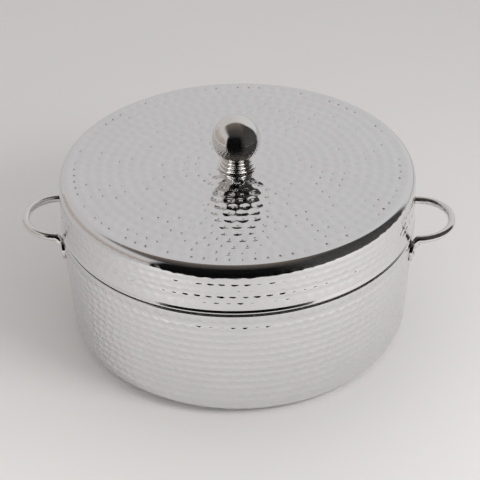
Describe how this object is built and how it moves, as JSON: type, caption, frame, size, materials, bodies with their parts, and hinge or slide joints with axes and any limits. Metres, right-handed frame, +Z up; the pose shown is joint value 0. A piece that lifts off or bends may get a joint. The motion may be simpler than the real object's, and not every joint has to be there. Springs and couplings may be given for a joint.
{
  "type": "insulated hot pot",
  "caption": "Round double-walled steel serving pot with a hammered wall, loop handles and a deep hammered lift-off lid with a ball knob, which keeps cooked food hot.",
  "frame": {"origin": "centre of the pot's base on the surface that it stands on", "axes": "+Z up along the pot's axis, the handles on +X and -X, and the pictured front towards -Y"},
  "size_m": [0.3466, 0.2826, 0.1855],
  "materials": {
    "hammered_steel": "polished",
    "polished_steel": "polished",
    "bowl_steel": "satin",
    "base_steel": "satin",
    "fixing_steel": "satin",
    "plug_plastic": "matte",
    "rigid_foam": "matte"
  },
  "bodies": {
    "pot": {"pot_outer_shell": "hammered_steel", "pot_base_plate": "base_steel", "base_port_plug": "plug_plastic", "pot_insulation": "rigid_foam", "inner_bowl": "bowl_steel", "right_handle": "polished_steel", "left_handle": "polished_steel", "right_handle_rivets": "polished_steel", "left_handle_rivets": "polished_steel", "right_rivet_washers": "fixing_steel", "left_rivet_washers": "fixing_steel"},
    "lid": {"lid_outer_shell": "hammered_steel", "lid_liner": "bowl_steel", "lid_insulation": "rigid_foam", "knob_ball": "polished_steel", "knob_collar": "polished_steel", "knob_stud": "fixing_steel", "knob_backing_disc": "fixing_steel", "knob_lock_washer": "fixing_steel", "knob_nut": "fixing_steel"}
  },
  "joints": [
    {"name": "lid_lift", "type": "slide", "parent": "pot", "child": "lid", "axis": [0, 0, 1], "range_m": [0, 0.2]}
  ]
}
